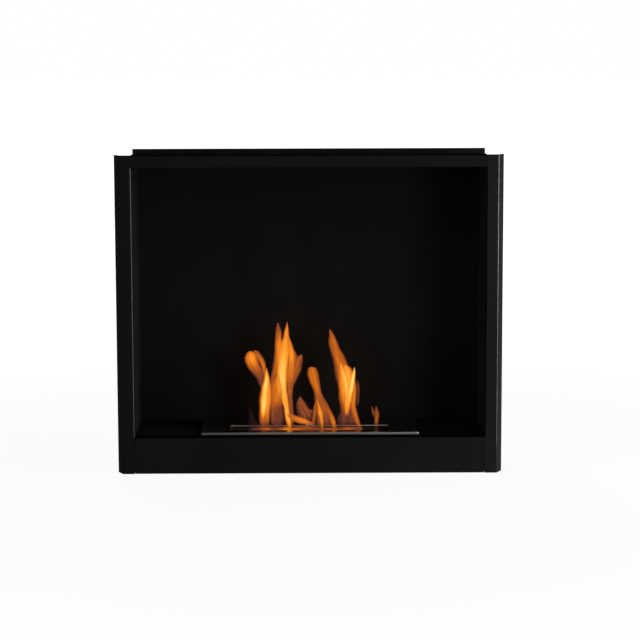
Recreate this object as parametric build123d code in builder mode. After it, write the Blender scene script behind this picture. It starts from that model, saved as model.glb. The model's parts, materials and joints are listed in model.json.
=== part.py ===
import os

from build123d import *

# Bioethanol fireplace, in millimetres. X runs across the front, the fire opening faces -Y and Z is up.
# The origin is the middle of the footprint, on the surface that the fireplace stands on.

# ---- Driving sizes -------------------------------------------------------------------------

# Fire opening, and the clearance between sheets that pass each other
opening_w = 545.5
opening_h = 419.5
fit = 0.2

# Front frame
frame_sheet = 1.5
bend_in_r = 0.5
edge_return = 20.0
rail_cap = 15.0
flare_out = 8.5
flare_back = 17.0
face_cover = 4.75
seam = 0.5

# Case round the fire space
casing_sheet = 1.5
side_gap = 9.0
top_gap = 5.5
rear_gap = 14.0
stud_room = 7.5
pan_edge = 10.0
back_rise = 9.0

# Lining of the fire space
liner_sheet = 1.5
liner_flange = 10.0
rear_clear = 24.8

# Burner: slot, top plate and tank
slot_w = 251.0
slot_d = 42.0
plate_end = 46.0
plate_sheet = 1.5
plate_edge_r = 0.7
plate_corner_r = 2.0
hem_h = 4.0
burner_set_back = 30.0
tank_sheet = 1.0
tank_h = 50.3
tank_flange = 7.0
tank_lead = 6.0
cut_clear = 2.0

# Sliding lid, its runners and its lug
lid_sheet = 1.2
lid_lap = 3.0
lid_side_play = 0.5
lid_end_play = 1.0
runner_sheet = 1.0
runner_reach = 12.0
runner_drop = 1.5
runner_play = 0.6
lug_sheet = 1.2
lug_w = 14.0
lug_h = 8.0
lug_foot = 8.0
lug_clear = 1.0
lug_hole_r = 2.2
lug_corner_r = 3.0

# Wool and the sheet that holds it down
wool_clear = 0.3
mesh_sheet = 1.0
mesh_drop = 2.0
mesh_hole_r = 2.5
mesh_pitch = 9.0

# Spill tray and the floor's supports
tray_sheet = 1.0
tray_clear = 4.0
tray_h = 22.0
drip_gap = 3.2
support_sheet = 1.5
support_foot = 12.0
support_gap = 22.0
support_inset = 20.0

# Fasteners and pads
stud_r = 1.5
stud_len = 8.0
nut_flats = 5.5
nut_h = 2.4
hole_clear = 0.05
stud_inset = 40.0
rivet_r = 1.6
rivet_head_r = 3.0
rivet_head_h = 1.0
rivet_tail_r = 2.3
rivet_tail_h = 1.5
rivet_bulge = 0.4
rivet_dip_r = 1.0
rivet_dip = 0.5
rivet_inset = 30.0
screw_r = 1.5
screw_head_r = 2.8
socket_flats = 2.0
socket_d = 1.0
screw_inset = 15.0
pad_r = 9.0
pad_inset = 25.0
bumper_h = 3.0
bumper_inset = 40.0
keyhole_head_r = 6.0
keyhole_r = 3.0
keyhole_rise = 12.0
keyhole_pitch = 400.0
keyhole_drop = 61.0
fixing_r = 3.0
fixing_pitch = 280.0
fixing_rise = 10.0

# ---- Sizes and places that follow ----------------------------------------------------------

bend_r = frame_sheet + bend_in_r
half_open = opening_w / 2
wall_in = half_open + bend_r
wall_out = wall_in + liner_sheet
case_in = wall_out + side_gap
case_out = case_in + casing_sheet
face_out = case_out + face_cover
half_w = face_out + flare_out
pan_out = case_in - fit

# Heights, from the ground up
case_z = bend_r
pan_top = case_z + casing_sheet
tray_top = pan_top + tray_sheet
tank_z = tray_top + drip_gap
flange_top = tank_z + tank_h
floor_z = flange_top + plate_sheet - hem_h
floor_under = floor_z - liner_sheet
lip_h = floor_z + bend_r
open_top = lip_h + opening_h
ceiling_z = open_top + bend_r
ceiling_top = ceiling_z + liner_sheet
case_roof = ceiling_top + top_gap
case_top = case_roof + casing_sheet
height = case_top + stud_room + frame_sheet
back_top = case_top + back_rise

# Burner, measured back from its front edge
hem_in = plate_sheet + fit
tank_front = hem_in + tank_flange
slot_front = tank_front + tank_sheet + tank_lead + lid_lap
slot_rear = slot_front + slot_d
lid_d = slot_d + 2 * lid_lap
lid_travel = slot_d - 2 * lug_clear - lug_sheet
lid_rest = slot_front - lid_lap + lid_travel
tank_rear = lid_rest + lid_d + lid_end_play + tank_sheet
plate_d = tank_rear + tank_flange + hem_in

# Depths, from the front to the wall
firebox_d = burner_set_back + plate_d + rear_clear
depth = firebox_d + liner_sheet + rear_gap + casing_sheet + bumper_h
front_y = -depth / 2
face_back = front_y + frame_sheet
case_front = face_back + casing_sheet
back_wall_y = front_y + firebox_d
back_wall_rear = back_wall_y + liner_sheet
back_plate_y = back_wall_rear + rear_gap
back_plate_rear = back_plate_y + casing_sheet
burner_y = front_y + burner_set_back

# Burner, across
plate_half = slot_w / 2 + plate_end
flange_half = plate_half - hem_in
tank_half = flange_half - tank_flange
tank_in = tank_half - tank_sheet
lid_half = tank_in - runner_sheet - lid_side_play
plate_under = flange_top
plate_top = plate_under + plate_sheet
runner_top = flange_top - runner_drop
groove_h = lid_sheet + runner_play
lid_z = runner_top - runner_sheet - groove_h
lid_top = lid_z + lid_sheet
runner_z = lid_z - runner_sheet
mesh_z = runner_z - mesh_drop - mesh_sheet

rivet_stack = 2 * casing_sheet
side_rivet_stack = rivet_stack + fit


def slab(x, y, z, mode=Mode.ADD):
    """A block between the two values of each axis."""
    with BuildSketch(Plane.XY.offset(z[0])) as outline:
        with Locations(((x[0] + x[1]) / 2, (y[0] + y[1]) / 2)):
            Rectangle(x[1] - x[0], y[1] - y[0])
    extrude(outline.sketch, amount=z[1] - z[0], mode=mode)


def disc(plane, radius, length, mode=Mode.ADD):
    """A round bar from the plane along its normal."""
    with BuildSketch(plane) as outline:
        Circle(radius)
    extrude(outline.sketch, amount=length, mode=mode)


def drill(planes, radius, length):
    """Round holes that run back from each plane."""
    for plane in planes:
        disc(plane, radius, -length, Mode.SUBTRACT)


def rivets(planes, stack):
    """A blind rivet at each plane: a domed head with a dip in front of it, its tail behind the stack."""
    dip_floor = (0, rivet_head_h - rivet_dip)
    dip_rim = (rivet_dip_r, rivet_head_h)
    head_rim = (rivet_head_r, 0)
    tail_end = -stack - rivet_tail_h
    for plane in planes:
        # Out from the rivet's axis, and up along it
        half_section = Plane(origin=plane.origin, x_dir=plane.x_dir, z_dir=-plane.y_dir)
        with BuildSketch(half_section) as profile:
            with BuildLine():
                TangentArc(dip_floor, dip_rim, tangent=(1, 0))
                SagittaArc(dip_rim, head_rim, rivet_bulge)
                Polyline(head_rim, (rivet_r, 0), (rivet_r, -stack), (rivet_tail_r, -stack),
                         (rivet_tail_r, tail_end), (0, tail_end), dip_floor)
            make_face()
        revolve(profile.sketch, axis=Axis(plane.origin, plane.z_dir))


def spread(low, high, inset, count):
    """Evenly spaced values between low and high, kept inset from both."""
    step = (high - low - 2 * inset) / (count - 1)
    return [low + inset + step * i for i in range(count)]


def folded(plane, points, side, length, both=False):
    """A sheet folded along the points, its thickness on the named side."""
    with BuildSketch(plane) as section:
        with BuildLine():
            FilletPolyline(*points, radius=bend_r)
            offset(amount=frame_sheet, side=side)
        make_face()
    extrude(section.sketch, amount=length, both=both)


def keep(piece, name):
    """Label a finished piece and write its file."""
    piece.part.label = name
    export_step(piece.part, f"parts/{name}.step")


os.makedirs("parts", exist_ok=True)

# Where the fasteners go: each plane's normal points to the fastener's head
side_rows = spread(front_y, back_plate_y, rivet_inset, 3)
side_planes = [
    Plane(origin=(sign * case_out, y, z), z_dir=(sign, 0, 0))
    for sign in (-1, 1)
    for y in side_rows
    for z in (case_z + casing_sheet + pan_edge / 2, ceiling_top + top_gap / 2)
]
flange_x = case_in - liner_flange / 2
back_side_planes = [
    Plane(origin=(sign * flange_x, back_plate_rear, z), z_dir=(0, 1, 0))
    for sign in (-1, 1)
    for z in spread(pan_top, case_roof, rivet_inset, 4)
]
back_edge_planes = [
    Plane(origin=(x, back_plate_rear, z), z_dir=(0, 1, 0))
    for x in spread(-half_open, half_open, rivet_inset, 3)
    for z in (pan_top + pan_edge / 2, ceiling_top + top_gap / 2)
]
wall_x = wall_out + side_gap / 2
liner_side_planes = [
    Plane(origin=(sign * wall_x, back_wall_rear, z), z_dir=(0, 1, 0))
    for sign in (-1, 1)
    for z in spread(floor_z, ceiling_z, rivet_inset, 4)
]
liner_edge_planes = [
    Plane(origin=(x, back_wall_rear, floor_under - liner_flange / 2), z_dir=(0, 1, 0))
    for x in spread(-half_open, half_open, rivet_inset, 3)
]
stud_x = spread(-half_open, half_open, stud_inset, 3)
side_studs = [
    Plane(origin=(sign * wall_x, face_back, z), z_dir=(0, -1, 0))
    for sign in (-1, 1)
    for z in spread(lip_h, open_top, stud_inset, 3)
]
rail_studs = [
    Plane(origin=(x, face_back, case_top + stud_room / 2), z_dir=(0, -1, 0)) for x in stud_x
]
panel_studs = [
    Plane(origin=(x, face_back, z), z_dir=(0, -1, 0))
    for x in stud_x
    for z in (pan_top + pan_edge / 2, floor_under - liner_flange / 2)
]
all_studs = side_studs + rail_studs + panel_studs

# ---- Front frame ---------------------------------------------------------------------------

stile_points = [
    (half_open, front_y + edge_return),
    (half_open, front_y),
    (face_out, front_y),
    (half_w, front_y + flare_back),
]
return_x = (half_open - seam, half_open + bend_r + fit)
return_y = (face_back, front_y + edge_return + seam)

with BuildPart() as right_stile:
    folded(Plane.XY, stile_points, Side.LEFT, height)
    # The inner fold runs beside the opening only
    slab(return_x, return_y, (-seam, lip_h), Mode.SUBTRACT)
    slab(return_x, return_y, (open_top, height + seam), Mode.SUBTRACT)
    # Above and below it the sheet ends in a square edge
    slab((half_open, wall_in), (front_y, face_back), (0, lip_h))
    slab((half_open, wall_in), (front_y, face_back), (open_top, height))
keep(right_stile, "right_stile")

with BuildPart() as left_stile:
    mirror(right_stile.part, about=Plane.YZ)
keep(left_stile, "left_stile")

rail_points = [
    (front_y + edge_return, open_top),
    (front_y, open_top),
    (front_y, height),
    (front_y + rail_cap, height),
]
with BuildPart() as top_rail:
    folded(Plane.YZ, rail_points, Side.RIGHT, half_open - seam, both=True)
keep(top_rail, "top_rail")

panel_points = [
    (front_y + edge_return, lip_h),
    (front_y, lip_h),
    (front_y, 0),
    (front_y + edge_return, 0),
]
with BuildPart() as bottom_panel:
    folded(Plane.YZ, panel_points, Side.LEFT, half_open - seam, both=True)
keep(bottom_panel, "bottom_panel")

with BuildPart() as frame_studs:
    for stud in all_studs:
        disc(stud, stud_r, -stud_len)
keep(frame_studs, "frame_studs")

# The uprights' studs also go through the lining's front fold
with BuildPart() as frame_nuts:
    for stud in all_studs:
        stack = casing_sheet + (liner_sheet if stud in side_studs else 0)
        seat = stud.offset(-stack)
        with BuildSketch(seat) as hexagon:
            RegularPolygon(radius=nut_flats / 2, side_count=6, major_radius=False)
            Circle(stud_r + hole_clear, mode=Mode.SUBTRACT)
        extrude(hexagon.sketch, amount=-nut_h)
keep(frame_nuts, "frame_nuts")

# ---- Outer case ----------------------------------------------------------------------------

flange_z = (pan_top + pan_edge + fit, ceiling_top - fit)
with BuildPart() as casing_right_side:
    slab((case_in, case_out), (face_back, back_plate_y), (case_z, case_top))
    slab((wall_out + fit, case_in), (face_back, case_front), flange_z)
    slab((case_in - liner_flange, case_in), (back_plate_y - casing_sheet, back_plate_y), flange_z)
    drill(side_studs, stud_r + hole_clear, casing_sheet)
    drill(side_planes, rivet_r + hole_clear, casing_sheet)
    drill(back_side_planes, rivet_r + hole_clear, rivet_stack)
keep(casing_right_side, "casing_right_side")

with BuildPart() as casing_left_side:
    mirror(casing_right_side.part, about=Plane.YZ)
keep(casing_left_side, "casing_left_side")

pan_x = (-pan_out, pan_out)
pan_in_x = (casing_sheet - pan_out, pan_out - casing_sheet)
pan_y = (face_back, back_plate_y)
pan_in_y = (case_front, back_plate_y - casing_sheet)

with BuildPart() as casing_bottom:
    slab(pan_x, pan_y, (case_z, pan_top + pan_edge))
    slab(pan_in_x, pan_in_y, (pan_top, pan_top + pan_edge), Mode.SUBTRACT)
    drill(side_planes, rivet_r + hole_clear, side_rivet_stack)
    drill(back_edge_planes, rivet_r + hole_clear, rivet_stack)
    drill(panel_studs, stud_r + hole_clear, casing_sheet)
keep(casing_bottom, "casing_bottom")

# The roof's sides and rear fold down, and its front folds up behind the rail and the tops of the uprights
with BuildPart() as casing_top:
    slab(pan_x, pan_y, (ceiling_top, case_top))
    slab(pan_in_x, (face_back, pan_in_y[1]), (ceiling_top, case_roof), Mode.SUBTRACT)
    slab(pan_x, (face_back, case_front), (ceiling_top, case_roof), Mode.SUBTRACT)
    slab(pan_x, (face_back, case_front), (case_top, height - bend_r))
    drill(side_planes, rivet_r + hole_clear, side_rivet_stack)
    drill(back_edge_planes, rivet_r + hole_clear, rivet_stack)
    drill(rail_studs, stud_r + hole_clear, casing_sheet)
keep(casing_top, "casing_top")

keyhole_z = back_top - keyhole_drop
keyhole_x = [-keyhole_pitch / 2, keyhole_pitch / 2]
fixing_planes = [
    Plane(origin=(x, back_plate_rear, pan_top + tray_h + fixing_rise), z_dir=(0, 1, 0))
    for x in (-fixing_pitch / 2, fixing_pitch / 2)
]
with BuildPart() as back_plate:
    slab((-pan_out, pan_out), (back_plate_y, back_plate_rear), (case_z, back_top))
    with BuildSketch(Plane.XZ.offset(-back_plate_rear)) as keyholes:
        with Locations(*[(x, keyhole_z) for x in keyhole_x]):
            Circle(keyhole_head_r)
        with Locations(*[(x, keyhole_z + keyhole_rise / 2) for x in keyhole_x]):
            SlotCenterToCenter(keyhole_rise, 2 * keyhole_r, rotation=90)
    extrude(keyholes.sketch, amount=casing_sheet, mode=Mode.SUBTRACT)
    # Two lower holes, reached above the spill tray when the burner is out
    drill(fixing_planes, fixing_r, casing_sheet)
    drill(back_side_planes + back_edge_planes, rivet_r + hole_clear, casing_sheet)
keep(back_plate, "back_plate")

with BuildPart() as casing_rivets:
    rivets(side_planes, side_rivet_stack)
    rivets(back_side_planes + back_edge_planes, rivet_stack)
keep(casing_rivets, "casing_rivets")

# ---- Lining of the fire space --------------------------------------------------------------

wall_z = (floor_z, ceiling_z)
with BuildPart() as firebox_right_wall:
    slab((wall_in, wall_out), (case_front, back_wall_y), wall_z)
    slab((wall_out, case_in), (case_front, case_front + liner_sheet), wall_z)
    slab((wall_out, case_in), (back_wall_y - liner_sheet, back_wall_y), wall_z)
    drill(side_studs, stud_r + hole_clear, casing_sheet + liner_sheet)
    drill(liner_side_planes, rivet_r + hole_clear, 2 * liner_sheet)
keep(firebox_right_wall, "firebox_right_wall")

with BuildPart() as firebox_left_wall:
    mirror(firebox_right_wall.part, about=Plane.YZ)
keep(firebox_left_wall, "firebox_left_wall")

with BuildPart() as firebox_back_wall:
    slab((-pan_out, pan_out), (back_wall_y, back_wall_rear), (floor_under - liner_flange, ceiling_top))
    drill(liner_side_planes + liner_edge_planes, rivet_r + hole_clear, liner_sheet)
keep(firebox_back_wall, "firebox_back_wall")

with BuildPart() as firebox_ceiling:
    slab((-wall_out, wall_out), (face_back, back_wall_y), (ceiling_z, ceiling_top))
keep(firebox_ceiling, "firebox_ceiling")

floor_x = (-wall_out, wall_out)
fold_z = (floor_under - liner_flange, floor_under)
cut_half = tank_half + cut_clear
cut_y = (burner_y + tank_front - cut_clear, burner_y + tank_rear + cut_clear)
with BuildPart() as firebox_floor:
    slab(floor_x, (face_back, back_wall_y), (floor_under, floor_z))
    slab(floor_x, (face_back, face_back + liner_sheet), fold_z)
    slab(floor_x, (back_wall_y - liner_sheet, back_wall_y), fold_z)
    slab((-cut_half, cut_half), cut_y, (floor_under, floor_z), Mode.SUBTRACT)
    # Its front corners clear the folds of the case's sides
    for corner in ((-wall_out - fit, -wall_in), (wall_in, wall_out + fit)):
        slab(corner, (face_back, case_front), (fold_z[0], floor_z), Mode.SUBTRACT)
    drill(panel_studs, stud_r + hole_clear, liner_sheet)
    drill(liner_edge_planes, rivet_r + hole_clear, 2 * liner_sheet)
keep(firebox_floor, "firebox_floor")

with BuildPart() as liner_rivets:
    rivets(liner_side_planes + liner_edge_planes, 2 * liner_sheet)
keep(liner_rivets, "liner_rivets")

# ---- Under the floor -----------------------------------------------------------------------

tray_half = tank_half + tray_clear
tray_y = (burner_y + tank_front - tray_clear, burner_y + tank_rear + tray_clear)
with BuildPart() as spill_tray:
    slab((-tray_half - tray_sheet, tray_half + tray_sheet),
         (tray_y[0] - tray_sheet, tray_y[1] + tray_sheet), (pan_top, pan_top + tray_h))
    slab((-tray_half, tray_half), tray_y, (tray_top, pan_top + tray_h), Mode.SUBTRACT)
keep(spill_tray, "spill_tray")

support_x = tray_half + tray_sheet + support_gap
support_y = (front_y + support_inset, back_wall_y - support_inset)
with BuildPart() as floor_support_right:
    slab((support_x, support_x + support_sheet), support_y, (pan_top, floor_under))
    slab((support_x, support_x + support_foot), support_y, (pan_top, pan_top + support_sheet))
    slab((support_x, support_x + support_foot), support_y, (floor_under - support_sheet, floor_under))
keep(floor_support_right, "floor_support_right")

with BuildPart() as floor_support_left:
    mirror(floor_support_right.part, about=Plane.YZ)
keep(floor_support_left, "floor_support_left")

# ---- Burner --------------------------------------------------------------------------------

tank_y = (burner_y + tank_front, burner_y + tank_rear)
tank_in_y = (tank_y[0] + tank_sheet, tank_y[1] - tank_sheet)
flange_y = (tank_y[0] - tank_flange, tank_y[1] + tank_flange)
with BuildPart() as burner_tank:
    slab((-tank_half, tank_half), tank_y, (tank_z, flange_top))
    slab((-flange_half, flange_half), flange_y, (flange_top - tank_sheet, flange_top))
    slab((-tank_in, tank_in), tank_in_y, (tank_z + tank_sheet, flange_top), Mode.SUBTRACT)
    screw_planes = [
        Plane(origin=(sign * (tank_half + tank_flange / 2), y, plate_top), z_dir=(0, 0, 1))
        for sign in (-1, 1)
        for y in (tank_y[0] + screw_inset, tank_y[1] - screw_inset)
    ]
    drill(screw_planes, screw_r + hole_clear, plate_sheet + tank_sheet)
keep(burner_tank, "burner_tank")

screw_sink = screw_head_r - screw_r
slot_y = (burner_y + slot_front, burner_y + slot_rear)
plate_y = (burner_y, burner_y + plate_d)
with BuildPart() as burner_top_plate:
    slab((-plate_half, plate_half), plate_y, (floor_z, plate_top))
    fillet(burner_top_plate.edges().filter_by(Axis.Z), plate_corner_r)
    fillet(burner_top_plate.faces().sort_by(Axis.Z)[-1].edges(), plate_edge_r)
    slab((plate_sheet - plate_half, plate_half - plate_sheet),
         (plate_y[0] + plate_sheet, plate_y[1] - plate_sheet), (floor_z, plate_under), Mode.SUBTRACT)
    slab((-slot_w / 2, slot_w / 2), slot_y, (plate_under, plate_top), Mode.SUBTRACT)
    drill(screw_planes, screw_r + hole_clear, plate_sheet)
    for plane in screw_planes:
        with BuildSketch(plane) as mouth:
            Circle(screw_head_r + hole_clear)
        extrude(mouth.sketch, amount=-screw_sink, taper=45, mode=Mode.SUBTRACT)
keep(burner_top_plate, "burner_top_plate")

# Short countersunk screws with a hexagonal socket, which end just above the floor sheet
with BuildPart() as burner_screws:
    for plane in screw_planes:
        with BuildSketch(plane) as head:
            Circle(screw_head_r)
        extrude(head.sketch, amount=-screw_sink, taper=45)
        disc(plane, screw_r, fit - hem_h)
        with BuildSketch(plane) as socket:
            RegularPolygon(radius=socket_flats / 2, side_count=6, major_radius=False)
        extrude(socket.sketch, amount=-socket_d, mode=Mode.SUBTRACT)
keep(burner_screws, "burner_screws")

wool_half = tank_in - wool_clear
wool_y = (tank_in_y[0] + wool_clear, tank_in_y[1] - wool_clear)
with BuildPart() as ceramic_fibre:
    slab((-wool_half, wool_half), wool_y, (tank_z + tank_sheet, mesh_z))
keep(ceramic_fibre, "ceramic_fibre")

holes_x = int((slot_w - mesh_pitch) / mesh_pitch)
holes_y = int(slot_d / mesh_pitch)
with BuildPart() as retaining_mesh:
    slab((-wool_half, wool_half), wool_y, (mesh_z, mesh_z + mesh_sheet))
    with BuildSketch(Plane.XY.offset(mesh_z)) as pattern:
        with Locations((0, (slot_y[0] + slot_y[1]) / 2)):
            with GridLocations(mesh_pitch, mesh_pitch, holes_x, holes_y):
                Circle(mesh_hole_r)
    extrude(pattern.sketch, amount=mesh_sheet, mode=Mode.SUBTRACT)
keep(retaining_mesh, "retaining_mesh")

runner_y = (tank_in_y[0] + fit, tank_in_y[1] - fit)
with BuildPart() as lid_guide_right:
    slab((tank_in - runner_reach, tank_in), runner_y, (runner_z, runner_top))
    slab((tank_in - runner_reach, tank_in - runner_sheet), runner_y,
         (lid_z, runner_top - runner_sheet), Mode.SUBTRACT)
keep(lid_guide_right, "lid_guide_right")

with BuildPart() as lid_guide_left:
    mirror(lid_guide_right.part, about=Plane.YZ)
keep(lid_guide_left, "lid_guide_left")

# The lid stands open, slid back under the top plate
lid_y = (burner_y + lid_rest, burner_y + lid_rest + lid_d)
with BuildPart() as snuffer_lid:
    slab((-lid_half, lid_half), lid_y, (lid_z, lid_top))
keep(snuffer_lid, "snuffer_lid")

lug_y = lid_y[0] + lid_lap + lug_clear
with BuildPart() as lid_lug:
    slab((-lug_w / 2, lug_w / 2), (lug_y, lug_y + lug_sheet), (lid_top, lid_top + lug_h))
    fillet(lid_lug.edges().filter_by(Axis.Y).group_by(Axis.Z)[-1], lug_corner_r)
    slab((-lug_w / 2, lug_w / 2), (lug_y, lug_y + lug_foot), (lid_top, lid_top + lug_sheet))
    eye = Plane(origin=(0, lug_y, lid_top + lug_h - 2 * lug_hole_r), z_dir=(0, -1, 0))
    disc(eye, lug_hole_r, -lug_sheet, Mode.SUBTRACT)
keep(lid_lug, "lid_lug")

# ---- Pads ----------------------------------------------------------------------------------

pad_x = case_out - pad_inset
with BuildPart() as rubber_pads:
    for x in (-pad_x, pad_x):
        for y in (front_y + edge_return + pad_inset, back_plate_y - pad_inset):
            disc(Plane(origin=(x, y, 0), z_dir=(0, 0, 1)), pad_r, case_z)
keep(rubber_pads, "rubber_pads")

bumper_x = case_out - bumper_inset
with BuildPart() as wall_bumpers:
    for x in (-bumper_x, bumper_x):
        for z in (bumper_inset, back_top - bumper_inset):
            disc(Plane(origin=(x, back_plate_rear, z), z_dir=(0, 1, 0)), pad_r, bumper_h)
keep(wall_bumpers, "wall_bumpers")

print("width", 2 * half_w, "depth", depth, "height", height)
print("sill", lip_h, "lid travel", lid_travel, "fixing height", fixing_planes[0].origin.Z)
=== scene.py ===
"""Looks of the bioethanol fireplace: materials, flames, studio light and the camera."""
import json
import math

import bpy
from mathutils import Matrix, Vector, noise


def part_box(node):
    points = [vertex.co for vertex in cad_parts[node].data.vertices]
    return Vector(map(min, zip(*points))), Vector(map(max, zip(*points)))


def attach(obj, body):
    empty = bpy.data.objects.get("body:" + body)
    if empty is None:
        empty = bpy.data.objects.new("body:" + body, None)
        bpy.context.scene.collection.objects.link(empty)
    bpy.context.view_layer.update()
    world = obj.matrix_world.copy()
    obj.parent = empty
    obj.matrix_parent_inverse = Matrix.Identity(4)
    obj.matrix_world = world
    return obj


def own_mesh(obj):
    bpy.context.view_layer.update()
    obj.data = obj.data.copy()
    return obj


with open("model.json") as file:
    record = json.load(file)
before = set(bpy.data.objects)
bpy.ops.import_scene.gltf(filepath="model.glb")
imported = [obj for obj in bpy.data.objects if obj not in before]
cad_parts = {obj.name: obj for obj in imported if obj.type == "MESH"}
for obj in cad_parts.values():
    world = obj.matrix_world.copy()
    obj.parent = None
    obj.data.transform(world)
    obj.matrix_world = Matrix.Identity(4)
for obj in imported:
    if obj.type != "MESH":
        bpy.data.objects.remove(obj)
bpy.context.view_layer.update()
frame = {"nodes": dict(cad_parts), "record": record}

# A millimetre in metres, and colours as a shader's socket takes them
MM = 0.001
WHITE = (1.0, 1.0, 1.0, 1.0)
BLACK = (0.0, 0.0, 0.0, 1.0)


# ---- Helpers -------------------------------------------------------------------------------

# A Mix node's sockets when it blends colours: the two that go in, and the one that comes out
MIX_FIRST = 6
MIX_SECOND = 7
MIX_RESULT = 2


def put(name, data):
    """A new object in the scene."""
    made = bpy.data.objects.new(name, data)
    bpy.context.scene.collection.objects.link(made)
    return made


def add(tree, kind, inputs=(), **settings):
    """Add a shader node; an input's value is a number, a colour or another node's socket."""
    made = tree.nodes.new("ShaderNode" + kind)
    for key, value in settings.items():
        setattr(made, key, value)
    for key, value in dict(inputs).items():
        if isinstance(value, bpy.types.NodeSocket):
            tree.links.new(value, made.inputs[key])
        else:
            made.inputs[key].default_value = value
    return made


def maths(tree, operation, first, second=0.0, clamp=False):
    """The result socket of one Math node."""
    return add(tree, "Math", {0: first, 1: second}, operation=operation, use_clamp=clamp).outputs[0]


def split(tree, vector):
    """The X, Y and Z sockets of a vector."""
    return add(tree, "SeparateXYZ", {"Vector": vector}).outputs


def here(tree):
    """Place on the object, in metres."""
    return add(tree, "TexCoord").outputs["Object"]


def upward(tree):
    """How far the surface faces up: 1 on top, 0 on a side and -1 underneath."""
    return split(tree, add(tree, "TexCoord").outputs["Normal"])["Z"]


def carried(tree, name, socket="Fac"):
    """What the mesh itself carries at its points under a name."""
    return add(tree, "Attribute", attribute_name=name).outputs[socket]


def grain(tree, scale, detail=3.0, stretch=(1.0, 1.0, 1.0), distortion=0.0):
    """Noise from 0 to 1, with `scale` times `stretch` waves to the metre along X, Y and Z."""
    where = add(tree, "Mapping", {"Vector": here(tree), "Scale": stretch}).outputs["Vector"]
    inputs = {"Vector": where, "Scale": scale, "Detail": detail, "Distortion": distortion}
    return add(tree, "TexNoise", inputs).outputs["Fac"]


def swing(tree, value, reach):
    """A noise from 0 to 1, made to swing about zero."""
    return maths(tree, "MULTIPLY", maths(tree, "SUBTRACT", value, 0.5), reach)


def remap(tree, value, before, after, kind="LINEAR"):
    """Value moved from one range to another, and held within it."""
    (low, high), (to_low, to_high) = before, after
    inputs = {"Value": value, "From Min": low, "From Max": high, "To Min": to_low, "To Max": to_high}
    return add(tree, "MapRange", inputs, interpolation_type=kind).outputs["Result"]


def ramp(tree, value, stops):
    """Colour ramp through (place, colour) stops."""
    made = add(tree, "ValToRGB", {"Fac": value})
    marks = made.color_ramp.elements
    while len(marks) < len(stops):
        marks.new(1.0)
    for mark, (place, colour) in zip(marks, stops):
        mark.position = place
        mark.color = (*colour, 1.0)
    return made.outputs["Color"]


def mixed(tree, share, first, second, blend="MIX"):
    """Two colours blended by the share of the second."""
    inputs = {"Factor": share, MIX_FIRST: first, MIX_SECOND: second}
    return add(tree, "Mix", inputs, data_type="RGBA", blend_type=blend).outputs[MIX_RESULT]


def bump(tree, height, distance, normal=None):
    """Bump of `distance` metres, on top of another normal if one is given."""
    inputs = {"Height": height, "Distance": distance}
    if normal is not None:
        inputs["Normal"] = normal
    return add(tree, "Bump", inputs).outputs["Normal"]


def material(name, **plain):
    """A material with one Principled shader; plain values go on its own sockets."""
    made = bpy.data.materials.new(name)
    made.use_nodes = True
    shader = made.node_tree.nodes["Principled BSDF"]
    for key, value in plain.items():
        shader.inputs[key.replace("_", " ")].default_value = value
    return made, made.node_tree, shader.inputs


def wire(tree, inputs, **sockets):
    """Link sockets to the shader's inputs."""
    for key, socket in sockets.items():
        tree.links.new(socket, inputs[key.replace("_", " ")])


# ---- Materials -----------------------------------------------------------------------------

# Scales are in waves to the metre and heights in metres. Each colour of a ramp has its place from 0 to 1.

# Powder coats: darkest and lightest grey, least and most roughness, height of the fine texture and of the
# orange peel, weight of the clear gloss, and whether the coat has painted shade where it faces up
COATS = {
    "satin_coat": (0.0043, 0.0055, 0.38, 0.46, 0.000035, 0.00003, 0.3, False),
    "matt_coat": (0.0046, 0.0060, 0.50, 0.60, 0.00005, 0.00003, 0.05, False),
    "gloss_coat": (0.0040, 0.0055, 0.32, 0.40, 0.00002, 0.00001, 0.4, False),
    # The next two are copies of the frame's satin coat: their grey is painted lighter to stand in for the
    # shine they lack, and where they face up they carry painted shade
    "panel_coat_painted_shade": (0.0058, 0.0072, 0.38, 0.46, 0.000035, 0.00003, 0.3, True),
    "rail_coat_painted_shade": (0.0055, 0.0069, 0.38, 0.46, 0.000035, 0.00003, 0.3, True),
}
# What they share: how much the coat itself reflects, how rough its clear gloss is, and the waves of its
# cloudy patches, its wear, its orange peel and its texture
COAT_SHINE = 0.05
GLOSS_ROUGHNESS = 0.18
PATCH_SCALE = 9.0
WEAR_SCALE = 55.0
PEEL_SCALE = 170.0
TEXTURE_SCALE = 1500.0
# How far a coat with painted top shade faces up where its painted shade and loss of gloss begin and where
# they are full, and how much of its colour is painted black there as shade
TOP_SHADE_FACING = (0.1, 0.6)
TOP_SHADE_BLACK = 0.75


def powder_coat(name, darkest, lightest, smoothest, roughest, texture, peel, gloss, painted_top_shade):
    """Powder coat: a fine texture over a soft orange peel, with faint cloudy patches. One with painted top
    shade has no shine of its own, and where it faces up it has no gloss and its colour is darkened towards
    black, as painted shade."""
    shine = 0.0 if painted_top_shade else COAT_SHINE
    made, tree, inputs = material(
        name, Specular_IOR_Level=shine, Coat_Weight=gloss, Coat_Roughness=GLOSS_ROUGHNESS)
    patches = grain(tree, PATCH_SCALE, detail=4.0)
    colour = ramp(tree, patches, ((0.32, (darkest,) * 3), (0.7, (lightest,) * 3)))
    # Painted shade: where the coat faces up, its gloss is taken away and its colour darkened towards black
    if painted_top_shade:
        facing = upward(tree)
        wire(tree, inputs, Coat_Weight=remap(tree, facing, TOP_SHADE_FACING, (gloss, 0.0)))
        colour = mixed(tree, remap(tree, facing, TOP_SHADE_FACING, (0.0, TOP_SHADE_BLACK)), colour, BLACK)
    wear = grain(tree, WEAR_SCALE, detail=4.0)
    roughness = remap(tree, wear, (0.3, 0.7), (smoothest, roughest))
    wide = bump(tree, grain(tree, PEEL_SCALE, detail=1.5), peel)
    fine = bump(tree, grain(tree, TEXTURE_SCALE, detail=2.0), texture, wide)
    wire(tree, inputs, Base_Color=colour, Roughness=roughness, Normal=fine)
    return made


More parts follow.
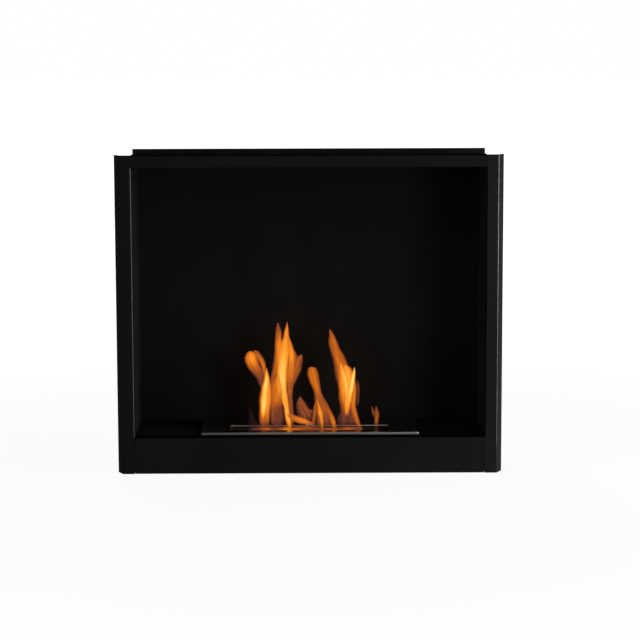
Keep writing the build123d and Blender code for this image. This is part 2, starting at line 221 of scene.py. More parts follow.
# Heat-proof paint: the middle of its heated patch, how far from there it is fully heated and not at all, the
# waves of the patch's clouds and of the paint's grain, and its colours from unheated to heated
HEAT_MIDDLE = (0.0, 0.0, 0.20)
HEAT_REACH = (0.10, 0.26)
CLOUD_SCALE = 14.0
PAINT_SCALE = 1100.0
PAINT_TEXTURE = 0.00004
PAINT_COLOURS = ((0.0, (0.0078, 0.0078, 0.0077)), (1.0, (0.0108, 0.0104, 0.0098)))


def firebox_paint():
    """Matt heat-proof paint, a little browner and drier where the flames heat the wall."""
    made, tree, inputs = material("heat_paint", Specular_IOR_Level=0.0)
    away = add(tree, "VectorMath", {0: here(tree), 1: HEAT_MIDDLE}, operation="DISTANCE").outputs["Value"]
    heated = remap(tree, away, HEAT_REACH, (1.0, 0.0), "SMOOTHSTEP")
    cloud = remap(tree, grain(tree, CLOUD_SCALE, detail=5.0, distortion=0.4), (0.35, 0.7), (0.0, 1.0))
    haze = maths(tree, "MULTIPLY", heated, cloud)
    colour = ramp(tree, haze, PAINT_COLOURS)
    roughness = remap(tree, haze, (0.0, 1.0), (0.62, 0.78))
    fine = bump(tree, grain(tree, PAINT_SCALE), PAINT_TEXTURE)
    wire(tree, inputs, Base_Color=colour, Roughness=roughness, Normal=fine)
    return made


# Zinc plate: its spangles, the fine grain in them, and its colours
SPANGLE_SCALE = 140.0
ZINC_SCALE = 700.0
ZINC_TEXTURE = 0.00002
ZINC_COLOURS = ((0.0, (0.42, 0.43, 0.44)), (1.0, (0.60, 0.60, 0.60)))


def zinc():
    """Galvanised sheet: spangles of differing grey and gloss."""
    made, tree, inputs = material("galvanised", Metallic=0.9)
    cells = add(tree, "TexVoronoi", {"Vector": here(tree), "Scale": SPANGLE_SCALE}).outputs["Color"]
    shade = add(tree, "SeparateColor", {"Color": cells}).outputs["Red"]
    colour = ramp(tree, shade, ZINC_COLOURS)
    roughness = remap(tree, shade, (0.0, 1.0), (0.52, 0.30))
    fine = bump(tree, grain(tree, ZINC_SCALE), ZINC_TEXTURE)
    wire(tree, inputs, Base_Color=colour, Roughness=roughness, Normal=fine)
    return made


# Stainless steel: its brush strokes, drawn out along X, its colours and those of a bare cut edge, and how
# much less rough a flat face is than a fold
STROKE_SCALES = (22.0, 2600.0, 2600.0)
STROKE_HEIGHT = 0.000002
STEEL_COLOURS = ((0.3, (0.44, 0.43, 0.415)), (0.7, (0.60, 0.59, 0.57)))
BARE_COLOURS = ((0.3, (0.78, 0.76, 0.73)), (0.7, (0.90, 0.88, 0.85)))
FLAT_POLISH = 0.19
# How far from the slot's opening its cut edges lie at most
CUT_EDGE = 0.0075
# The heat tint round the slot: its width, by how much and in which waves that varies, how much of the tint
# shows, and its colours from the slot outwards
TINT_WIDTH = 0.016
TINT_UNEVEN = 0.008
BLOTCH_SCALE = 30.0
TINT_SHARE = 0.7
TINT_COLOURS = (
    (0.0, (0.50, 0.47, 0.52)),
    (0.25, (0.62, 0.49, 0.40)),
    (0.6, (0.92, 0.80, 0.60)),
    (1.0, (1.0, 1.0, 1.0)),
)


def distance_outside(tree, low, high):
    """Distance to an upright box, seen from above, in metres."""
    middle = (low + high) / 2
    half = (high - low) / 2
    place = split(tree, here(tree))
    squares = []
    for axis in range(2):
        away = maths(tree, "ABSOLUTE", maths(tree, "SUBTRACT", place[axis], middle[axis]))
        gap = maths(tree, "MAXIMUM", maths(tree, "SUBTRACT", away, half[axis]), 0.0)
        squares.append(maths(tree, "POWER", gap, 2.0))
    return maths(tree, "SQRT", maths(tree, "ADD", *squares))


def stainless(slot_low, slot_high):
    """Stainless steel brushed along X: near-polished on its flat faces and heat tinted beside the slot,
    duller on its folds, and bare on the slot's cut edges."""
    made, tree, inputs = material("brushed_stainless", Metallic=1.0)
    flat = remap(tree, maths(tree, "ABSOLUTE", upward(tree)), (0.5, 0.9), (0.0, 1.0), "SMOOTHSTEP")
    distance = distance_outside(tree, slot_low, slot_high)
    uneven = maths(tree, "ADD", distance, swing(tree, grain(tree, BLOTCH_SCALE), TINT_UNEVEN))
    tint = ramp(tree, remap(tree, uneven, (0.0, TINT_WIDTH), (0.0, 1.0)), TINT_COLOURS)
    near = maths(tree, "LESS_THAN", distance, CUT_EDGE)
    edge = maths(tree, "MULTIPLY", maths(tree, "SUBTRACT", 1.0, flat), near)
    strokes = grain(tree, 1.0, detail=4.0, stretch=STROKE_SCALES)
    metal = mixed(tree, edge, ramp(tree, strokes, STEEL_COLOURS), ramp(tree, strokes, BARE_COLOURS))
    colour = mixed(tree, maths(tree, "MULTIPLY", flat, TINT_SHARE), metal, tint, "MULTIPLY")
    dull = remap(tree, strokes, (0.25, 0.75), (0.30, 0.44))
    roughness = maths(tree, "SUBTRACT", dull, maths(tree, "MULTIPLY", flat, FLAT_POLISH))
    wire(tree, inputs, Base_Color=colour, Roughness=roughness, Normal=bump(tree, strokes, STROKE_HEIGHT))
    return made


# Soot: its streaks, which are a little longer along X, and its colours
SOOT_SCALES = (90.0, 160.0, 160.0)
SOOT_HEIGHT = 0.00002
SOOT_COLOURS = ((0.35, (0.012, 0.010, 0.009)), (0.8, (0.075, 0.062, 0.050)))


def sooted_steel():
    """Stainless steel that the flames have blackened: brown-black scale with a few barer streaks."""
    made, tree, inputs = material("sooted_steel", Metallic=0.6)
    scale = grain(tree, 1.0, detail=5.0, stretch=SOOT_SCALES, distortion=0.6)
    colour = ramp(tree, scale, SOOT_COLOURS)
    roughness = remap(tree, scale, (0.3, 0.8), (0.75, 0.5))
    wire(tree, inputs, Base_Color=colour, Roughness=roughness, Normal=bump(tree, scale, SOOT_HEIGHT))
    return made


# Ceramic wool: its fibres, which lie along X, its scorched patches, and its colours from clean to scorched
FIBRE_SCALES = (260.0, 900.0, 900.0)
FIBRE_HEIGHT = 0.0006
SCORCH_SCALE = 45.0
WOOL_COLOURS = ((0.35, (0.80, 0.78, 0.72)), (0.75, (0.52, 0.46, 0.38)))


def ceramic_wool():
    """White ceramic wool: matted fibres, a little scorched in patches."""
    made, tree, inputs = material("ceramic_wool", Roughness=0.95, Sheen_Weight=0.25)
    fibres = grain(tree, 1.0, detail=6.0, stretch=FIBRE_SCALES, distortion=1.2)
    colour = ramp(tree, grain(tree, SCORCH_SCALE), WOOL_COLOURS)
    wire(tree, inputs, Base_Color=colour, Normal=bump(tree, fibres, FIBRE_HEIGHT))
    return made


# Rubber: its speckle, and its colours
SPECKLE_SCALE = 1300.0
SPECKLE_HEIGHT = 0.00003
RUBBER_COLOURS = ((0.3, (0.016, 0.016, 0.016)), (0.7, (0.026, 0.026, 0.026)))


def rubber():
    """Matt black rubber with a fine moulded speckle."""
    made, tree, inputs = material("pad_rubber", Specular_IOR_Level=0.3)
    speckle = grain(tree, SPECKLE_SCALE, detail=2.0)
    colour = ramp(tree, speckle, RUBBER_COLOURS)
    roughness = remap(tree, speckle, (0.3, 0.7), (0.72, 0.88))
    wire(tree, inputs, Base_Color=colour, Roughness=roughness, Normal=bump(tree, speckle, SPECKLE_HEIGHT))
    return made


# Burning gas: strength of its glow, and its colours from cool to white-hot
GAS_GLOW = 1.1
GAS_COLOURS = (
    (0.0, (0.058, 0.022, 0.026)),
    (0.15, (0.200, 0.048, 0.018)),
    (0.33, (0.520, 0.115, 0.010)),
    (0.52, (0.950, 0.270, 0.020)),
    (0.72, (1.000, 0.440, 0.055)),
    (0.98, (1.000, 0.720, 0.200)),
)
# How much of the heat is left at a strand's rim, and by how much the streaks differ in heat
RIM_HEAT = 0.55
STREAK_HEAT = 0.45
# From where, between the middle (0) and the rim (1), a strand thins out to nothing
RIM_FROM = 0.42


def flame_glow():
    """Glowing gas: hotter inside, see-through at the foot and at the rim, with drawn-out streaks."""
    made, tree, inputs = material(
        "flame_gas", Base_Color=BLACK, Roughness=1.0, Specular_IOR_Level=0.0, Emission_Strength=GAS_GLOW)
    stream = carried(tree, "stream", "Vector")
    streaks = add(tree, "TexNoise", {"Vector": stream, "Scale": 1.0, "Detail": 2.0}).outputs["Fac"]
    off_middle = maths(tree, "ABSOLUTE", carried(tree, "across"))
    inside = remap(tree, off_middle, (0.1, 1.0), (1.0, RIM_HEAT), "SMOOTHSTEP")
    heat = maths(tree, "MULTIPLY", carried(tree, "warm"), inside)
    colour = ramp(tree, maths(tree, "ADD", heat, swing(tree, streaks, STREAK_HEAT)), GAS_COLOURS)
    rim = remap(tree, off_middle, (RIM_FROM, 1.0), (1.0, 0.0), "SMOOTHSTEP")
    cover = maths(tree, "MULTIPLY", carried(tree, "cover"), rim)
    ragged = remap(tree, streaks, (0.25, 0.6), (0.8, 1.0))
    alpha = maths(tree, "MULTIPLY", cover, ragged, clamp=True)
    wire(tree, inputs, Emission_Color=colour, Alpha=alpha)
    made.cycles.emission_sampling = "NONE"
    return made


# ---- Flames --------------------------------------------------------------------------------

# Every flame is a bundle of strands, in millimetres. A strand is its place along Y, how much it covers what
# is behind it at its foot and above it (0 to 1), and the places along its middle line from foot to tip: X,
# height above the base, half width, and heat (0 cool to 1 white-hot).
FLAMES = {
    "flame_curl": (
        (-28, 0.1, 0.9, (
            (-72, 118, 2, 0.06), (-75, 130, 6, 0.09), (-78, 142, 8, 0.12), (-83, 152, 10, 0.20),
            (-88, 161, 12, 0.34), (-91, 169, 13, 0.48), (-92, 176, 12, 0.52), (-93, 181, 8, 0.46),
            (-93, 184, 1, 0.35),
        )),
        (-25, 0.1, 0.7, (
            (-70, 126, 2, 0.12), (-71, 140, 3, 0.24), (-72, 152, 4, 0.36), (-74, 163, 5, 0.42),
            (-79, 174, 5, 0.36), (-84, 181, 4, 0.30), (-89, 184, 0, 0.26),
        )),
    ),
    "flame_spark": (
        (-33, 0.2, 0.85, (
            (-72, 52, 8, 0.14), (-72, 66, 9, 0.20), (-72, 78, 10, 0.38), (-71, 92, 10, 0.56),
            (-70, 106, 11, 0.62), (-69, 120, 10, 0.60), (-68, 134, 7, 0.60), (-68, 147, 4, 0.56),
            (-68, 158, 0, 0.44),
        )),
        (-40, 0.2, 0.9, (
            (-74, 78, 2, 0.60), (-73, 92, 5, 0.86), (-72, 104, 6, 0.94), (-71, 116, 6, 0.86),
            (-70, 128, 5, 0.92), (-68, 140, 3, 0.96), (-68, 152, 0, 0.80),
        )),
    ),
    "flame_tall": (
        (-20, 0.08, 0.85, (
            (-56, 52, 5, 0.05), (-58, 76, 6, 0.14), (-58, 96, 6, 0.26), (-58, 118, 7, 0.28),
            (-57, 134, 7, 0.30), (-54, 148, 7, 0.27), (-52, 162, 7, 0.32), (-50, 176, 7, 0.40),
            (-49, 190, 7, 0.44), (-49, 204, 6, 0.36), (-49, 216, 5, 0.24), (-50, 228, 1, 0.10),
        )),
        (-27, 0.34, 0.92, (
            (-31, 52, 4, 0.40), (-34, 71, 5, 0.64), (-36, 84, 5, 0.74), (-37, 94, 5, 0.70),
            (-40, 106, 7, 0.68), (-43, 120, 9, 0.72), (-44, 136, 10, 0.84), (-43, 154, 10, 0.78),
            (-41, 174, 11, 0.66), (-39, 190, 10, 0.60), (-37, 203, 6, 0.58), (-36, 216, 4, 0.52),
            (-35, 230, 0, 0.35),
        )),
        (-25, 0.2, 0.85, (
            (-30, 108, 4, 0.26), (-31, 126, 5, 0.30), (-31, 144, 7, 0.38), (-29, 159, 8, 0.40),
            (-28, 172, 10, 0.42), (-30, 184, 7, 0.46), (-32, 195, 5, 0.48), (-33, 208, 0, 0.45),
        )),
        (-22, 0.08, 0.85, (
            (-29, 52, 4, 0.28), (-29, 71, 5, 0.30), (-30, 84, 5, 0.24), (-31, 100, 5, 0.20),
            (-32, 116, 5, 0.16), (-29, 130, 6, 0.18), (-25, 143, 8, 0.24), (-21, 154, 9, 0.28),
            (-18, 164, 8, 0.28), (-15, 171, 6, 0.26), (-12, 177, 0, 0.22),
        )),
        (-34, 0.08, 0.7, (
            (-50, 52, 11, 0.05), (-50, 71, 12, 0.07), (-50, 82, 12, 0.13), (-51, 94, 11, 0.22),
            (-51, 106, 10, 0.40), (-51, 120, 9, 0.46), (-51, 134, 7, 0.50), (-50, 152, 0, 0.40),
        )),
    ),
    "flame_low": (
        (-20, 0.15, 0.8, (
            (-4, 68, 12, 0.15), (-6, 78, 14, 0.17), (-10, 86, 12, 0.18), (-13, 94, 10, 0.19),
            (-15, 101, 7, 0.20), (-15, 106, 3, 0.19), (-15, 110, 0, 0.14),
        )),
        (-18, 0.5, 0.5, (
            (8, 86, 2, 0.16), (2, 84, 4, 0.20), (-5, 86, 4, 0.22), (-9, 92, 3, 0.22),
            (-12, 100, 0, 0.18),
        )),
        (-34, 0.85, 0.85, (
            (-36, 86, 3, 0.26), (-30, 80, 5, 0.32), (-23, 76, 6, 0.38), (-15, 73, 6, 0.46),
            (-7, 71, 5, 0.50), (1, 69, 3, 0.36), (9, 68, 0, 0.25),
        )),
    ),
    "flame_middle": (
        (-28, 0.16, 0.88, (
            (25, 52, 16, 0.10), (23, 70, 16, 0.16), (21, 80, 13, 0.20), (19, 92, 12, 0.25),
            (15, 106, 9, 0.24), (12, 120, 7, 0.33), (8, 134, 9, 0.38), (5, 146, 10, 0.40),
            (4, 152, 9, 0.38), (3, 156, 7, 0.32), (3, 158, 1, 0.24),
        )),
        (-33, 0.3, 0.85, (
            (20, 52, 3, 0.36), (19, 71, 4, 0.50), (17, 84, 5, 0.62), (15, 93, 4, 0.50),
            (13, 102, 2, 0.38), (12, 112, 0, 0.30),
        )),
        (-30, 0.34, 0.8, (
            (41, 52, 5, 0.26), (38, 66, 5, 0.36), (35, 76, 5, 0.38), (30, 88, 4, 0.32),
            (25, 100, 3, 0.28), (19, 114, 0, 0.26),
        )),
        (-32, 0.2, 0.7, (
            (5, 52, 3, 0.14), (6, 70, 4, 0.20), (8, 84, 4, 0.24), (9, 96, 3, 0.24),
            (12, 110, 0, 0.24),
        )),
    ),
    "flame_right": (
        (-17, 0.5, 0.85, (
            (59, 114, 8, 0.40), (55, 132, 13, 0.42), (52, 148, 14, 0.38), (50, 158, 13, 0.34),
            (46, 170, 11, 0.34), (41, 182, 9, 0.35), (37, 195, 8, 0.34), (35, 206, 5, 0.28),
            (32, 217, 1, 0.14),
        )),
        (-26, 0.08, 0.85, (
            (60, 52, 20, 0.05), (60, 72, 19, 0.07), (61, 82, 15, 0.14), (61, 94, 14, 0.32),
            (60, 106, 15, 0.48), (60, 120, 16, 0.58), (59, 136, 15, 0.62), (58, 148, 13, 0.64),
            (57, 156, 9, 0.58), (57, 161, 1, 0.50),
        )),
        (-31, 0.5, 0.85, (
            (58, 78, 2, 0.40), (58, 94, 3, 0.66), (59, 110, 4, 0.72), (58, 126, 6, 0.78),
            (55, 142, 6, 0.74), (52, 152, 6, 0.62), (50, 160, 4, 0.50), (49, 168, 0, 0.40),
        )),
        (-34, 0.5, 0.88, (
            (60, 80, 2, 0.40), (61, 97, 3, 0.70), (63, 111, 4, 0.84), (66, 125, 5, 0.88),
            (68, 138, 4, 0.88), (70, 149, 3, 0.78), (71, 159, 0, 0.60),
        )),
        (-29, 0.34, 0.7, (
            (84, 52, 3, 0.12), (79, 62, 4, 0.20), (75, 71, 5, 0.30), (72, 82, 5, 0.36),
            (69, 94, 5, 0.40), (70, 108, 4, 0.42), (71, 122, 4, 0.38), (72, 136, 0, 0.30),
        )),
        (-15, 0.2, 0.4, (
            (76, 92, 2, 0.12), (77, 106, 3, 0.16), (77, 122, 3, 0.16), (76, 138, 0, 0.10),
        )),
    ),
    "flame_small": (
        (-30, 0.15, 0.7, (
            (106, 52, 3, 0.16), (106, 72, 4, 0.26), (107, 81, 4, 0.27), (106, 89, 3, 0.20),
            (105, 96, 0, 0.12),
        )),
        (-26, 0.4, 0.5, (
            (104, 74, 2, 0.18), (101, 84, 3, 0.22), (98, 95, 0, 0.16),
        )),
    ),
    "flame_wisp": (
        (-36, 0.1, 0.08, (
            (-88, 52, 12, 0.0), (-90, 66, 10, 0.0), (-92, 78, 6, 0.0), (-95, 94, 0, 0.0),
        )),
    ),
    # The low smear of flame along the slot
    "flame_bed": (
        (-27, 0.75, 0.75, (
            (-98, 57, 2, 0.02), (-84, 57, 4, 0.07), (-74, 57, 5, 0.26), (-67, 57, 5, 0.34),
            (-60, 57, 5, 0.16), (-52, 57, 5, 0.17), (-44, 57, 5, 0.30), (-37, 57, 5, 0.46),
            (-30, 57, 5, 0.36), (-22, 57, 3, 0.24),
        )),
        (-31, 0.8, 0.8, (
            (-34, 57, 3, 0.30), (-24, 58, 5, 0.31), (-12, 59, 6, 0.26), (0, 59, 6, 0.24),
            (12, 58, 5, 0.20), (22, 57, 5, 0.22), (32, 57, 5, 0.28), (42, 57, 5, 0.19),
            (50, 57, 3, 0.15),
        )),
        (-27, 0.75, 0.75, (
            (44, 57, 3, 0.15), (54, 57, 5, 0.24), (62, 57, 5, 0.28), (70, 57, 5, 0.20),
            (78, 57, 4, 0.18), (85, 57, 2, 0.08),
        )),
    ),
}
# Heights between which a strand goes from its foot's cover to its full one, and lengths over which it fades
# in at its foot and out at its tip
FOOT_LOW = 62.0
FOOT_HIGH = 72.0
FADE_IN = 9.0
FADE_OUT = 4.0
# A strand's mesh: points round a ring, length from ring to ring, fewest rings, and the share of the strand,
# before and behind a ring, that gives its direction there
SIDES = 20
RING_STEP = 2.2
FEWEST_RINGS = 12
LOOK_AHEAD = 0.01
# A strand's thickness, front to back, as a share of its width, and the most of it each way from the middle;
# the width of its tip as a share of its widest place
THICKNESS_SHARE = 0.42
THICKNESS_MOST = 5.0
TIP_SHARE = 0.04
# How far a strand sways to the front or back at its tip, and the height over which its sway changes
SWAY = 2.4
SWAY_WAVE = 28.0
# How uneven the outline is, the height over which that changes, and the half width from which it is so
RIPPLE = 0.9
RIPPLE_WAVE = 9.0
RIPPLE_FULL = 6.0
# Width and length of the streaks, and how far their pattern shifts from a strand's middle to its front
STREAK_WIDTH = 5.0
STREAK_LENGTH = 42.0
STREAK_TURN = 0.3
# Each strand's noise starts at a place of its own, from its flame's number of letters and its own number
SEED_PER_LETTER = 7.3
SEED_PER_STRAND = 3.1

# Keeps the last point of a line inside its last span
JUST_SHORT = 1e-6


def curve_through(places, share):
    """X, height, half width and heat at a share from 0 to 1 of a smooth line through the places."""
    spans = len(places) - 1
    at = min(share * spans, spans - JUST_SHORT)
    start = int(at)
    t = at - start
    before, first, second, after = (
        Vector(places[min(max(start + shift, 0), spans)]) for shift in (-1, 0, 1, 2)
    )
    return 0.5 * (
        2 * first + (second - before) * t
        + (2 * before - 5 * first + 4 * second - after) * t**2
        + (3 * first - before - 3 * second + after) * t**3
    )


def eased(value, low, high):
    """0 below low, 1 above high and smooth between them."""
    share = min(max((value - low) / (high - low), 0.0), 1.0)
    return share * share * (3.0 - 2.0 * share)


def strand_rings(depth, foot_cover, full_cover, places, seed):
    """A strand's rings from foot to tip: middle, direction, half width, heat, cover and run so far."""
    length = sum((Vector(b[:2]) - Vector(a[:2])).length for a, b in zip(places, places[1:]))
    widest = max(place[2] for place in places)
    count = max(FEWEST_RINGS, round(length / RING_STEP))
    rings = []
    for ring in range(count + 1):
        share = ring / count
        x, z, half, heat = curve_through(places, share)
        ahead = curve_through(places, min(share + LOOK_AHEAD, 1.0))
        behind = curve_through(places, max(share - LOOK_AHEAD, 0.0))
        along = Vector((ahead[0] - behind[0], ahead[1] - behind[1])).normalized()
        half = max(half, TIP_SHARE * widest)
        run = share * length
        cover = foot_cover + (full_cover - foot_cover) * eased(z, FOOT_LOW, FOOT_HIGH)
        cover *= eased(run, 0.0, FADE_IN) * eased(length - run, 0.0, FADE_OUT)
        sway = SWAY * share * noise.noise(Vector((seed, z / SWAY_WAVE, 0.0)))
        rings.append((Vector((x, depth + sway, z)), along, half, heat, cover, run))
    return rings


def strand_faces(first, count):
    """Faces of a closed strand of so many rings, whose points are numbered ring by ring from the first."""
    faces = []
    for ring in range(count - 1):
        for side in range(SIDES):
            a = first + ring * SIDES + side
            b = first + ring * SIDES + (side + 1) % SIDES
            faces.append((a, b, b + SIDES, a + SIDES))
    last = first + (count - 1) * SIDES
    faces.append([first + side for side in reversed(range(SIDES))])
    faces.append([last + side for side in range(SIDES)])
    return faces


def flame(name, strands, finish):
    """One flame: closed, flattened strands that taper to their tips, with what their glow needs."""
    points, faces = [], []
    glow = {"warm": [], "cover": [], "across": []}
    stream = []
    for number, (depth, foot_cover, full_cover, places) in enumerate(strands):
        seed = SEED_PER_LETTER * len(name) + SEED_PER_STRAND * number
        rings = strand_rings(depth, foot_cover, full_cover, places, seed)
        faces += strand_faces(len(points), len(rings))
        for centre, along, half, heat, cover, run in rings:
            thick = min(half * THICKNESS_SHARE, THICKNESS_MOST)
            for side in range(SIDES):
                turn = 2 * math.pi * side / SIDES
                across, out = math.cos(turn), math.sin(turn)
                uneven = RIPPLE * noise.noise(Vector((across + seed, out, centre.z / RIPPLE_WAVE)))
                reach = half * across + uneven * min(half / RIPPLE_FULL, 1.0) * across
                point = centre + Vector((along[1] * reach, thick * out, -along[0] * reach))
                points.append(point * MM)
                glow["warm"].append(heat)
                glow["cover"].append(cover)
                glow["across"].append(across)
                stream += (half * across / STREAK_WIDTH, run / STREAK_LENGTH, seed + STREAK_TURN * out)
    mesh = bpy.data.meshes.new(name)
    mesh.from_pydata(points, [], faces)
    for key, values in glow.items():
        mesh.attributes.new(key, "FLOAT", "POINT").data.foreach_set("value", values)
    mesh.attributes.new("stream", "FLOAT_VECTOR", "POINT").data.foreach_set("vector", stream)
    mesh.polygons.foreach_set("use_smooth", [True] * len(mesh.polygons))
    mesh.materials.append(finish)
    return put(name, mesh)


# ---- Studio, in metres and watts -----------------------------------------------------------

# The floor's sides, how far it lies below the base, and its grey
FLOOR_SIZE = 60.0
FLOOR_DROP = 0.0005
FLOOR_GREY = 0.28
# What the eye sees of the floor: strength of its white, how much of it there is near the object, where a
# shadow lies, and far off, and the distances between which the one turns into the other
FLOOR_LIGHT = 1.16
FLOOR_SHARES = (0.8, 1.0)
FLOOR_DISTANCES = (0.6, 2.5)
# The eye sees a white room. The coat in the photograph mirrors a dim one, lighter on the right: the two
# levels, and where one turns into the other along X of the direction looked in
ROOM_LEVELS = (0.04, 0.2)
ROOM_TURNS = (0.3, 0.9)

# name: place, size, aimed at, watts, colour, and whether the coat mirrors it
LAMPS = {
    "key": ((1.5, -2.5, 0.4), (0.8, 0.9), (0.0, 0.0, 0.27), 29.0, (1.0, 0.985, 0.96), True),
    "right": ((2.4, -0.85, 0.6), (0.9, 1.6), (0.0, 0.0, 0.27), 88.0, (1.0, 0.98, 0.95), True),
    "left": ((-2.2, -1.3, 0.8), (1.0, 1.4), (0.0, 0.0, 0.27), 27.0, (1.0, 1.0, 1.0), False),
    "top": ((0.2, 0.4, 2.6), (1.8, 1.2), (0.0, 0.0, 0.3), 14.0, (1.0, 1.0, 1.0), False),
    "back": ((-0.8, 2.8, 1.2), (1.2, 1.2), (0.0, 0.0, 0.3), 60.0, (1.0, 1.0, 1.0), False),
}

# Narrow lights close by, each mirrored only by the bend of one upright: place, height, watts
LINES = {
    "left_stile": ((-0.05, -0.22, 0.13), 0.30, 1.0),
    "right_stile": ((0.51, -0.22, 0.25), 0.56, 3.4),
}
LINE_WIDTH = 0.06
LINE_COLOUR = (1.0, 1.0, 1.0)

# Warm light that the flames throw on the fire space: place, watts
GLOWS = (
    ((-0.045, -0.030, 0.135), 0.10),
    ((0.012, -0.030, 0.100), 0.05),
    ((0.060, -0.026, 0.130), 0.08),
)
GLOW_COLOUR = (1.0, 0.50, 0.20)
GLOW_RADIUS = 0.022


def room_level(tree, direction):
    """How bright the room is towards a direction."""
    return remap(tree, split(tree, direction)["X"], ROOM_TURNS, ROOM_LEVELS, "SMOOTHSTEP")


def seen_by_eye(tree):
    """1 for what the camera sees, straight or through glass."""
    path = add(tree, "LightPath").outputs
    return maths(tree, "MAXIMUM", path["Is Camera Ray"], path["Is Transmission Ray"])


def blended(tree, share, first, second):
    """Two shaders blended by the share of the second."""
    return add(tree, "MixShader", {0: share, 1: first.outputs[0], 2: second.outputs[0]})


def backdrop():
    """White to the eye; to the object, dim in front and on the left and lighter on the right."""
    world = bpy.data.worlds.new("studio")
    bpy.context.scene.world = world
    world.use_nodes = True
    tree = world.node_tree
    tree.nodes.clear()
    level = room_level(tree, add(tree, "TexCoord").outputs["Generated"])
    seen = add(tree, "Background", {"Color": WHITE, "Strength": 1.0})
    felt = add(tree, "Background", {"Color": WHITE, "Strength": level})
    both = blended(tree, seen_by_eye(tree), felt, seen)
    add(tree, "OutputWorld", {"Surface": both.outputs[0]})


def floor():
    """A plain pale floor that looks white, keeps the object's shadow and mirrors as dim as the room."""
    half = FLOOR_SIZE / 2
    corners = [(x, y, -FLOOR_DROP) for x, y in ((-half, -half), (half, -half), (half, half), (-half, half))]
    mesh = bpy.data.meshes.new("floor")
    mesh.from_pydata(corners, [], [(0, 1, 2, 3)])
    surface = bpy.data.materials.new("floor")
    surface.use_nodes = True
    tree = surface.node_tree
    tree.nodes.clear()
    where = here(tree)
    away = add(tree, "VectorMath", {0: where}, operation="LENGTH").outputs["Value"]
    direction = add(tree, "VectorMath", {0: where}, operation="NORMALIZE").outputs["Vector"]
    matt = add(tree, "BsdfDiffuse", {"Color": (FLOOR_GREY, FLOOR_GREY, FLOOR_GREY, 1.0)})
    pale = add(tree, "Emission", {"Color": WHITE, "Strength": FLOOR_LIGHT})
    dim = add(tree, "Emission", {"Color": WHITE, "Strength": room_level(tree, direction)})
    unseen = blended(tree, add(tree, "LightPath").outputs["Is Glossy Ray"], matt, dim)
    share = remap(tree, away, FLOOR_DISTANCES, FLOOR_SHARES, "SMOOTHSTEP")
    both = blended(tree, maths(tree, "MULTIPLY", seen_by_eye(tree), share), unseen, pale)
    add(tree, "OutputMaterial", {"Surface": both.outputs[0]})
    mesh.materials.append(surface)
    put("floor", mesh)


def area_lamp(name, place, size, target, watts, colour):
    """A rectangular lamp that faces its target and that the camera doesn't see."""
    data = bpy.data.lights.new(name, "AREA")
    data.shape = "RECTANGLE"
    data.size, data.size_y = size
    data.energy = watts
    data.color = colour
    lamp = put(name, data)
    lamp.location = place
    away = Vector(place) - Vector(target)
    lamp.rotation_mode = "QUATERNION"
    lamp.rotation_quaternion = away.to_track_quat("Z", "Y")
    lamp.visible_camera = False
    return lamp


def soft_boxes():
    """The studio's soft boxes."""
    for name, (place, size, target, watts, colour, mirrored) in LAMPS.items():
        area_lamp(name, place, size, target, watts, colour).visible_glossy = mirrored


def line_lamps():
    """The narrow lights that draw a thin line down each upright's bend."""
    for name, (place, tall, watts) in LINES.items():
        low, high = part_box(name)
        middle = (low + high) / 2
        target = (middle.x, middle.y, place[2])
        lamp = area_lamp(f"line_{name}", place, (LINE_WIDTH, tall), target, watts, LINE_COLOUR)
        lamp.visible_diffuse = False
        bent = bpy.data.collections.new(f"line_{name}")
        bent.objects.link(frame["nodes"][name])
        lamp.light_linking.receiver_collection = bent


def flame_lamps():
    """The small warm lights in the flames."""
    for number, (place, watts) in enumerate(GLOWS):
        data = bpy.data.lights.new(f"glow_{number}", "POINT")
        data.energy = watts
        data.color = GLOW_COLOUR
        data.shadow_soft_size = GLOW_RADIUS
        lamp = put(f"glow_{number}", data)
        lamp.location = place
        lamp.visible_camera = False
        lamp.visible_glossy = False


# ---- Camera --------------------------------------------------------------------------------

# The photograph's width and the focal length in its pixels, and the sensor's width in millimetres
PICTURE_WIDTH = 640
FOCAL_PIXELS = 2096.7
SENSOR_WIDTH = 36.0
# Its place in metres, and in degrees how far it looks down and to the right and is raised on its right side
CAMERA_PLACE = (-0.0061, -3.3050, 0.6816)
CAMERA_PITCH = 7.801
CAMERA_YAW = 0.398
CAMERA_ROLL = -0.159


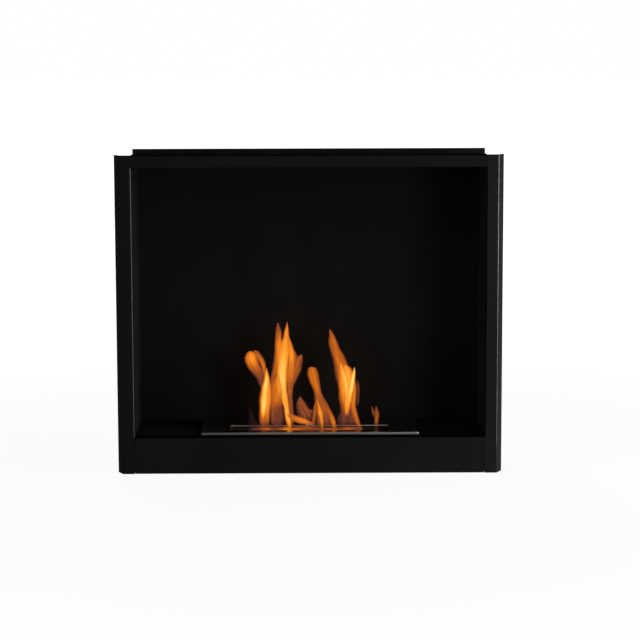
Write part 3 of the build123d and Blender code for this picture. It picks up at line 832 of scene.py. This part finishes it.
def camera():
    """The camera at the photograph's angle."""
    pitch, yaw, roll = (math.radians(angle) for angle in (CAMERA_PITCH, CAMERA_YAW, CAMERA_ROLL))
    ahead = Vector((math.sin(yaw) * math.cos(pitch), math.cos(yaw) * math.cos(pitch), -math.sin(pitch)))
    level_right = Vector((math.cos(yaw), -math.sin(yaw), 0.0))
    level_up = level_right.cross(ahead)
    right = math.cos(roll) * level_right + math.sin(roll) * level_up
    up = math.cos(roll) * level_up - math.sin(roll) * level_right
    data = bpy.data.cameras.new("camera")
    data.sensor_width = SENSOR_WIDTH
    data.lens = SENSOR_WIDTH * FOCAL_PIXELS / PICTURE_WIDTH
    data.clip_end = FLOOR_SIZE
    made = put("camera", data)
    turn = Matrix((right, up, -ahead)).transposed().to_4x4()
    made.matrix_world = Matrix.Translation(CAMERA_PLACE) @ turn
    bpy.context.scene.camera = made


# ---- The object ----------------------------------------------------------------------------


def slot_box():
    """The lowest and the highest corner of the burner slot's opening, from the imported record."""
    for opening in frame["record"]["physics"]["openings"]:
        if opening["name"] == "burner_slot":
            return [Vector(corner) for corner in opening["box_m"]]


coats = {name: powder_coat(name, *values) for name, values in COATS.items()}
finishes = {
    "frame_coat": coats["satin_coat"],
    "case_coat": coats["matt_coat"],
    "rivet": coats["gloss_coat"],
    "firebox_coat": firebox_paint(),
    "zinc": zinc(),
    "stainless": stainless(*slot_box()),
    "wool": ceramic_wool(),
    "rubber": rubber(),
}
# Nodes that look unlike the rest of their slot: the lid and the screws, blackened by soot, and the bottom
# panel and the top rail, whose coats carry painted shade where they face up
soot = sooted_steel()
own_finishes = {
    "snuffer_lid": soot,
    "burner_screws": soot,
    "bottom_panel": coats["panel_coat_painted_shade"],
    "top_rail": coats["rail_coat_painted_shade"],
}
for part in frame["record"]["subparts"]:
    node = frame["nodes"][part["node"]]
    finish = own_finishes.get(part["node"], finishes[part["material_slot"]])
    node.material_slots[0].material = finish

flame_finish = flame_glow()
for name, strands in FLAMES.items():
    piece = flame(name, strands, flame_finish)
    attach(piece, "burner")
    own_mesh(piece)

backdrop()
floor()
soft_boxes()
line_lamps()
flame_lamps()
camera()

settings = bpy.context.scene.view_settings
settings.view_transform = "Standard"
